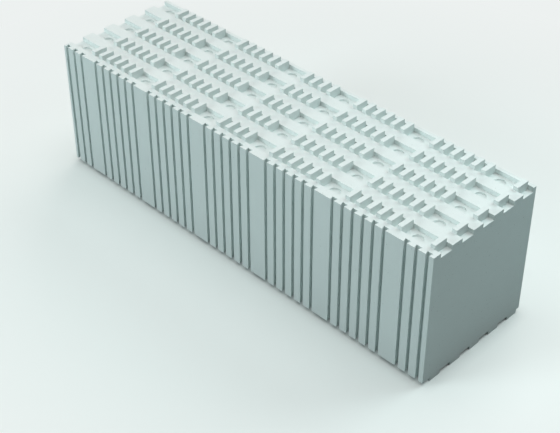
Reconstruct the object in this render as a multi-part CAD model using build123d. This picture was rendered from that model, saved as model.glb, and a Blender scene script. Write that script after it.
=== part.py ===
from build123d import *
import os

# Interlocking building block, cast in one piece, in millimetres.
# X runs along the block, Y from the grooved front face to the plain back face, and Z up.
# The origin is on the floor, under the middle of the block, which stands on its keys.

# The whole block, without its nubs and keys
pitch = 25.0
pitch_count = 42
block_width = 300.0
body_height = 300.0

# Upright dovetail grooves in the front face, each this far into its pitch
groove_centre = 10.5
groove_mouth = 7.5
groove_back = 13.0
groove_depth = 9.0
plain_every = 7
first_plain = 3

# Rows of nubs along the top, with a pocket between neighbours
row_pitch = 60.0
row_front = 20.0
row_width = 32.0
nub_start = 0.5
nub_width = 11.0
nub_height = 9.0
pocket_depth = 10.0

# A long bay takes the place of the two nubs after the pitch that it starts at
bay_starts = (0, 8, 16, 22, 30, 38)
nubs_left_out = 2

# A round mark, sunk into the floor of each long bay
mark_diameter = 24.0
mark_depth = 4.0
mark_along = 37.0
mark_across = 13.0

# Keys and sockets under the block fit the pockets and nubs of the block below
fit_clearance = 1.0

length = pitch * pitch_count
key_height = pocket_depth - fit_clearance
socket_depth = nub_height + fit_clearance
left_end = -length / 2
right_end = length / 2
front_face = -block_width / 2
back_face = block_width / 2
top_level = key_height + body_height
pocket_floor = top_level - pocket_depth
# As many rows as the width takes, with a wall left behind the sockets of the last one
row_count = int((block_width - row_front - row_width - 2 * fit_clearance) // row_pitch) + 1
row_starts = [front_face + row_front + row_pitch * number for number in range(row_count)]
bare_pitches = {start + step for start in bay_starts for step in range(1, nubs_left_out + 1)}
nub_pitches = [number for number in range(1, pitch_count) if number not in bare_pitches]


def pitch_line(number):
    return left_end + number * pitch


def cuboid(x_from, x_to, y_from, y_to, z_from, z_to):
    size = (x_to - x_from, y_to - y_from, z_to - z_from)
    return Pos(x_from, y_from, z_from) * Box(*size, align=(Align.MIN, Align.MIN, Align.MIN))


def nub_ranges():
    # The two sides of each nub along X
    starts = [pitch_line(number) + nub_start for number in nub_pitches]
    return [(start, start + nub_width) for start in starts]


def pocket_ranges():
    # The two ends of each pocket and bay along X; the first and the last are open at the block's ends
    nubs = nub_ranges()
    starts = [left_end] + [right for left, right in nubs]
    ends = [left for left, right in nubs] + [right_end]
    return list(zip(starts, ends))


def body():
    # The block's plan, with dovetail grooves along its front edge, raised to the top of the body
    points = [(left_end, front_face)]
    for number in range(pitch_count):
        if number % plain_every == first_plain:
            continue
        middle = pitch_line(number) + groove_centre
        points.append((middle - groove_mouth / 2, front_face))
        points.append((middle - groove_back / 2, front_face + groove_depth))
        points.append((middle + groove_back / 2, front_face + groove_depth))
        points.append((middle + groove_mouth / 2, front_face))
    points.append((right_end, front_face))
    points.append((right_end, back_face))
    points.append((left_end, back_face))
    plan = make_face(Polyline(*points, close=True))
    return Pos(0, 0, key_height) * extrude(plan, amount=body_height, dir=(0, 0, 1))


def row_cuts(start):
    # What is taken out for one row: its pockets and round marks in the top, its sockets underneath
    end = start + row_width
    cuts = [cuboid(left, right, start, end, pocket_floor, top_level) for left, right in pocket_ranges()]
    for number in bay_starts:
        disc = Cylinder(mark_diameter / 2, mark_depth, align=(Align.CENTER, Align.CENTER, Align.MAX))
        cuts.append(Pos(pitch_line(number) + mark_along, start + mark_across, pocket_floor) * disc)
    for left, right in nub_ranges():
        sides = (left - fit_clearance, right + fit_clearance)
        ends = (start - fit_clearance, end + fit_clearance)
        cuts.append(cuboid(*sides, *ends, key_height, key_height + socket_depth))
    return cuts


def row_additions(start):
    # What stands out for one row: its nubs on the top and its keys underneath
    end = start + row_width
    parts = [cuboid(left, right, start, end, top_level, top_level + nub_height) for left, right in nub_ranges()]
    for left, right in pocket_ranges():
        key_left = left if left == left_end else left + fit_clearance
        key_right = right if right == right_end else right - fit_clearance
        parts.append(cuboid(key_left, key_right, start + fit_clearance, end - fit_clearance, 0, key_height))
    return parts


def make_block():
    cuts = []
    additions = []
    for start in row_starts:
        cuts.extend(row_cuts(start))
        additions.extend(row_additions(start))
    return body().cut(*cuts).fuse(*additions).clean()


block = make_block()
os.makedirs("parts", exist_ok=True)
export_step(block, "parts/block.step")
print("block", block.bounding_box().size, "volume in litres", round(block.volume / 1e6, 2))
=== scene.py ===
import math
import bpy
import bmesh
from mathutils import Vector, Matrix


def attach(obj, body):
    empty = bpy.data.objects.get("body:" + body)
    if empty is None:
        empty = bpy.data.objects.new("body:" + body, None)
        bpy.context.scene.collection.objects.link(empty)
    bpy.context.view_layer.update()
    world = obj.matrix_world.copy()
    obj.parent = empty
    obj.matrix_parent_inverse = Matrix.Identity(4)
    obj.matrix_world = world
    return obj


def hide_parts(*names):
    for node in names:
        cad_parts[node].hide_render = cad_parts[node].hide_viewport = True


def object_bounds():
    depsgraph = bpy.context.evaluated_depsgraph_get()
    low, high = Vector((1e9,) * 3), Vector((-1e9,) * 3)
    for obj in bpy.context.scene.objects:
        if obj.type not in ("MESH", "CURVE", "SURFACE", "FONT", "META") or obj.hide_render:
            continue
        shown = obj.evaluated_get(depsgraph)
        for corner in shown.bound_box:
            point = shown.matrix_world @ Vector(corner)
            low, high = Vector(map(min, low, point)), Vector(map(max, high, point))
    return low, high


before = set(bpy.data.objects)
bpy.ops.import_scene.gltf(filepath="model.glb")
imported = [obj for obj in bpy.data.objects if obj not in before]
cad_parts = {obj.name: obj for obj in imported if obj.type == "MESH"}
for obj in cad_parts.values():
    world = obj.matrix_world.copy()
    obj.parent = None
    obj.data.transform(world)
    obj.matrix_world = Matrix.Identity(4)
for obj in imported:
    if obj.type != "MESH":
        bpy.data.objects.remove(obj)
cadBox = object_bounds()
print("frame loaded")

# Camera: its place, the point that it looks at and its far limit in metres, its roll in degrees,
# its lens and sensor in millimetres, and the shift of its picture
cameraSetup = {
    "place": (1.5025, -1.4993, 1.6614),
    "aim": (-0.0032, -0.0115, 0.1509),
    "farLimit": 100,
    "roll": 0.237,
    "lens": 79.386,
    "sensorWidth": 36,
    "shift": (0.00902, -0.07524),
}


def addCamera(setup):
    data = bpy.data.cameras.new("camera")
    data.lens = setup["lens"]
    data.sensor_width = setup["sensorWidth"]
    data.shift_x, data.shift_y = setup["shift"]
    data.clip_end = setup["farLimit"]
    camera = bpy.data.objects.new("camera", data)
    place = Vector(setup["place"])
    aim = Vector(setup["aim"]) - place
    turn = aim.to_track_quat("-Z", "Y").to_matrix().to_4x4()
    roll = Matrix.Rotation(math.radians(-setup["roll"]), 4, "Z")
    camera.matrix_world = Matrix.Translation(place) @ turn @ roll
    bpy.context.scene.collection.objects.link(camera)
    bpy.context.scene.camera = camera


addCamera(cameraSetup)


def addNode(tree, kind, inputs=None, **settings):
    # A new shader node; inputs holds plain values, or sockets to link from
    node = tree.nodes.new("ShaderNode" + kind)
    for name, value in settings.items():
        setattr(node, name, value)
    for name, value in (inputs or {}).items():
        if isinstance(value, bpy.types.NodeSocket):
            tree.links.new(value, node.inputs[name])
        else:
            node.inputs[name].default_value = value
    return node


# Studio: soft lamps at a plain level. Each lamp has the side that it shines from, as an angle from +X
# in degrees, its height above the floor in degrees, its strength on the block, and its colour.
# A sun has its softness in degrees; a softbox has its distance and size in metres, and lights the
# middle of the block, or the middle of its right end where atEnd is set
studio = {
    "backdrop": (0.847, 0.880, 0.871),
    "skyStrength": 0.02,
    "suns": {
        "overhead": {"side": 0, "height": 90, "strength": 1.54, "softness": 60, "colour": (1.0, 1.0, 1.0)},
        "back": {"side": 95, "height": 25, "strength": 1.45, "softness": 70, "colour": (1.08, 0.98, 0.95)},
    },
    "softboxes": {
        "frontFill": {
            "side": 243, "height": 22, "strength": 1.4,
            "distance": 5.0, "size": 1.9, "colour": (0.90, 1.03, 1.04), "atEnd": False,
        },
        "endFill": {
            "side": 66, "height": 50, "strength": 0.76,
            "distance": 1.3, "size": 0.6, "colour": (0.68, 1.02, 1.05), "atEnd": True,
        },
    },
}


def towards(lamp):
    # The direction from the block to the lamp
    side = math.radians(lamp["side"])
    height = math.radians(lamp["height"])
    return Vector((math.cos(side) * math.cos(height), math.sin(side) * math.cos(height), math.sin(height)))


def addLamp(name, kind, colour, energy, place, direction):
    data = bpy.data.lights.new(name, kind)
    data.energy = energy
    data.color = colour
    lamp = bpy.data.objects.new(name, data)
    lamp.visible_camera = False
    lamp.matrix_world = Matrix.Translation(place) @ direction.to_track_quat("Z", "Y").to_matrix().to_4x4()
    bpy.context.scene.collection.objects.link(lamp)
    return data


def addSun(name, lamp):
    data = addLamp(name, "SUN", lamp["colour"], lamp["strength"], Vector(), towards(lamp))
    data.angle = math.radians(lamp["softness"])


def addSoftbox(name, lamp, box):
    low, high = (Vector(corner) for corner in box)
    target = (low + high) / 2
    if lamp["atEnd"]:
        target.x = high.x
    distance = lamp["distance"]
    energy = lamp["strength"] * math.pi * distance ** 2        # it lights the target as such a sun would
    place = target + distance * towards(lamp)
    data = addLamp(name, "AREA", lamp["colour"], energy, place, towards(lamp))
    data.size = lamp["size"]


def seenDirectly(tree):
    # 1 for the rays that look at a surface or the sky, 0 for those that only carry light
    path = addNode(tree, "LightPath")
    result = path.outputs["Is Camera Ray"]
    for kind in ("Is Glossy Ray", "Is Transmission Ray"):
        result = addNode(tree, "Math", {0: result, 1: path.outputs[kind]}, operation="MAXIMUM").outputs[0]
    return result


def addWorld(setup):
    world = bpy.data.worlds.new("studio")
    bpy.context.scene.world = world
    world.use_nodes = True
    tree = world.node_tree
    tree.nodes.clear()
    sky = addNode(tree, "Background", {"Color": (1, 1, 1, 1), "Strength": setup["skyStrength"]})
    backdrop = addNode(tree, "Background", {"Color": (*setup["backdrop"], 1), "Strength": 1})
    mix = addNode(tree, "MixShader", {0: seenDirectly(tree), 1: sky.outputs[0], 2: backdrop.outputs[0]})
    addNode(tree, "OutputWorld", {"Surface": mix.outputs[0]})


# Floor: seen, it is a mix of the backdrop's even colour, with a painted contact shadow that darkens it
# within a set reach of the block, and of a lit surface that keeps the soft shadow. The lit share fades to
# nothing between two distances from the middle of the block. Unseen, it gives back a part of the light,
# with painted shade that darkens it within a set reach of the block. Distances are in metres
floorFinish = {
    "halfSide": 30,
    "bounceColour": (0.24, 0.32, 0.32),
    "paintedBounceShadeReach": 0.2,
    "seenColour": (0.85, 0.92, 0.90),
    "shadowShare": 0.82,
    "paintedShadowReach": 0.03,
    "fade": (0.5, 1.2),
}


def floorBounce(tree, setup):
    # Painted shade: ambient occlusion darkens the colour that the floor gives back near the block
    bounceColourWithPaintedShade = addNode(tree, "AmbientOcclusion", {
        "Color": (*setup["bounceColour"], 1), "Distance": setup["paintedBounceShadeReach"],
    }).outputs["Color"]
    return addNode(tree, "BsdfDiffuse", {"Color": bounceColourWithPaintedShade}).outputs[0]


def floorSeen(tree, setup, backdrop):
    shaded = addNode(tree, "BsdfDiffuse", {"Color": (*setup["seenColour"], 1)})
    # Painted contact shadow: ambient occlusion dims the backdrop's glow close around the block
    paintedContactShadow = addNode(tree, "AmbientOcclusion", {"Distance": setup["paintedShadowReach"]}).outputs["AO"]
    even = addNode(tree, "Emission", {"Color": (*backdrop, 1), "Strength": paintedContactShadow})
    place = addNode(tree, "TexCoord").outputs["Object"]
    distance = addNode(tree, "VectorMath", {0: place}, operation="LENGTH").outputs["Value"]
    start, end = setup["fade"]
    share = addNode(tree, "MapRange", {
        "Value": distance, "From Min": start, "From Max": end, "To Min": setup["shadowShare"], "To Max": 0,
    }).outputs[0]
    return addNode(tree, "MixShader", {0: share, 1: even.outputs[0], 2: shaded.outputs[0]}).outputs[0]


def makeFloorMaterial(setup, backdrop):
    material = bpy.data.materials.new("paleFloor")
    material.use_nodes = True
    tree = material.node_tree
    tree.nodes.clear()
    bounce = floorBounce(tree, setup)
    seen = floorSeen(tree, setup, backdrop)
    mix = addNode(tree, "MixShader", {0: seenDirectly(tree), 1: bounce, 2: seen})
    addNode(tree, "OutputMaterial", {"Surface": mix.outputs[0]})
    return material


def addFloor(material, reach):
    corners = [(-reach, -reach, 0), (reach, -reach, 0), (reach, reach, 0), (-reach, reach, 0)]
    mesh = bpy.data.meshes.new("studioFloor")
    mesh.from_pydata(corners, [], [(0, 1, 2, 3)])
    mesh.materials.append(material)
    floor = bpy.data.objects.new("studioFloor", mesh)
    bpy.context.scene.collection.objects.link(floor)


addWorld(studio)
addFloor(makeFloorMaterial(floorFinish, studio["backdrop"]), floorFinish["halfSide"])
for name, lamp in studio["suns"].items():
    addSun(name, lamp)
for name, lamp in studio["softboxes"].items():
    addSoftbox(name, lamp, cadBox)
print("studio ready")

# Concrete: pale, smooth and matt. Sizes are in metres, shades are shares of the base colour, and
# details count the finer layers of a noise. Pores are in poresKept of the cells, poreSpacing apart; they are
# sunk and darkened with painted shade
concreteFinish = {
    "colour": (0.78, 0.848, 0.834),
    "cloudSize": 0.30,
    "cloudShade": 0.025,
    "cloudDetail": 3,
    "patchSize": 0.035,
    "patchShade": 0.018,
    "patchDetail": 4,
    "grainSize": 0.0012,
    "grainShade": 0.05,
    "grainDetail": 2,
    "grainHeight": 0.00008,
    "noiseRoughness": 0.55,
    "poreSpacing": 0.007,
    "poreRadius": 0.0010,
    "poreSteepness": 2,
    "poresKept": 0.35,
    "paintedPoreShade": 0.35,
    "poreDepth": 0.0006,
    "roughness": (0.78, 0.92),
    "shine": 0.15,
}


def scaleBy(tree, value, factor):
    return addNode(tree, "Math", {0: value, 1: factor}, operation="MULTIPLY").outputs[0]


def addUp(tree, *values):
    result = values[0]
    for value in values[1:]:
        result = addNode(tree, "Math", {0: result, 1: value}, operation="ADD").outputs[0]
    return result


def unevenness(tree, place, setup, kind):
    # Soft noise from -0.5 to 0.5, with blots of about the size of that kind
    noise = addNode(tree, "TexNoise", {
        "Vector": place, "Scale": 1 / setup[kind + "Size"],
        "Detail": setup[kind + "Detail"], "Roughness": setup["noiseRoughness"],
    })
    return addNode(tree, "Math", {0: noise.outputs["Fac"], 1: 0.5}, operation="SUBTRACT").outputs[0]


def pores(tree, place, setup):
    # 1 at the middle of each pore, 0 outside; only the cells with the highest random value have one
    cells = addNode(tree, "TexVoronoi", {"Vector": place, "Scale": 1 / setup["poreSpacing"]})
    chance = addNode(tree, "SeparateColor", {"Color": cells.outputs["Color"]}).outputs[0]
    largest = setup["poreRadius"] / setup["poreSpacing"]
    radius = addNode(tree, "MapRange", {
        "Value": chance, "From Min": 1 - setup["poresKept"], "From Max": 1, "To Min": 0, "To Max": largest,
    }).outputs[0]
    inside = addNode(tree, "Math", {0: radius, 1: cells.outputs["Distance"]}, operation="SUBTRACT").outputs[0]
    slope = setup["poreSteepness"] / largest
    return addNode(tree, "Math", {0: inside, 1: slope}, operation="MULTIPLY", use_clamp=True).outputs[0]


def makeConcrete(setup):
    material = bpy.data.materials.new("castConcrete")
    material.use_nodes = True
    tree = material.node_tree
    shader = tree.nodes["Principled BSDF"]
    shader.inputs["Specular IOR Level"].default_value = setup["shine"]
    place = addNode(tree, "TexCoord").outputs["Object"]
    clouds = unevenness(tree, place, setup, "cloud")
    patches = unevenness(tree, place, setup, "patch")
    grain = unevenness(tree, place, setup, "grain")
    pits = pores(tree, place, setup)
    # The noise reaches 0.5 both ways, so it is doubled to reach its shade both ways
    shade = addUp(
        tree,
        scaleBy(tree, clouds, 2 * setup["cloudShade"]),
        scaleBy(tree, patches, 2 * setup["patchShade"]),
        scaleBy(tree, grain, 2 * setup["grainShade"]),
        # Painted shade in the pores: their colour is darkened where the bump sinks them
        scaleBy(tree, pits, -setup["paintedPoreShade"]),
        1,
    )
    colour = addNode(tree, "VectorMath", {0: setup["colour"], 3: shade}, operation="SCALE").outputs[0]
    tree.links.new(colour, shader.inputs["Base Color"])
    low, high = setup["roughness"]
    roughness = addNode(tree, "MapRange", {
        "Value": addUp(tree, patches, grain), "From Min": -0.5, "From Max": 0.5, "To Min": low, "To Max": high,
    })
    tree.links.new(roughness.outputs[0], shader.inputs["Roughness"])
    sand = addNode(tree, "Bump", {"Height": grain, "Distance": setup["grainHeight"], "Strength": 1})
    sunk = addNode(tree, "Bump", {
        "Height": pits, "Distance": setup["poreDepth"], "Strength": 1, "Normal": sand.outputs[0],
    }, invert=True)
    tree.links.new(sunk.outputs[0], shader.inputs["Normal"])
    return material


# Cast block: the frame's block with every edge and inner corner a little rounded, as a mould leaves
# them. Sizes are in metres and angles in degrees
castEdges = {
    "weldDistance": 0.00001,
    "flatAngle": 1,
    "edgeAngle": 30,
    "roundness": 0.0008,
    "steps": 2,
}


def makeCastBlock(source, material, setup):
    shape = bmesh.new()
    shape.from_mesh(source.data)
    bmesh.ops.remove_doubles(shape, verts=shape.verts, dist=setup["weldDistance"])
    flat = math.radians(setup["flatAngle"])
    bmesh.ops.dissolve_limit(shape, angle_limit=flat, verts=shape.verts, edges=shape.edges)
    mesh = bpy.data.meshes.new("castBlock")
    shape.to_mesh(mesh)
    shape.free()
    mesh.materials.append(material)
    block = bpy.data.objects.new("castBlock", mesh)
    bpy.context.scene.collection.objects.link(block)
    rounding = block.modifiers.new("roundedEdges", "BEVEL")
    rounding.width = setup["roundness"]
    rounding.segments = setup["steps"]
    rounding.limit_method = "ANGLE"
    rounding.angle_limit = math.radians(setup["edgeAngle"])
    return block


block = makeCastBlock(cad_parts["block"], makeConcrete(concreteFinish), castEdges)
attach(block, "root")
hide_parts("block")
print("block cast and finished")

bpy.context.scene.view_settings.view_transform = "Standard"
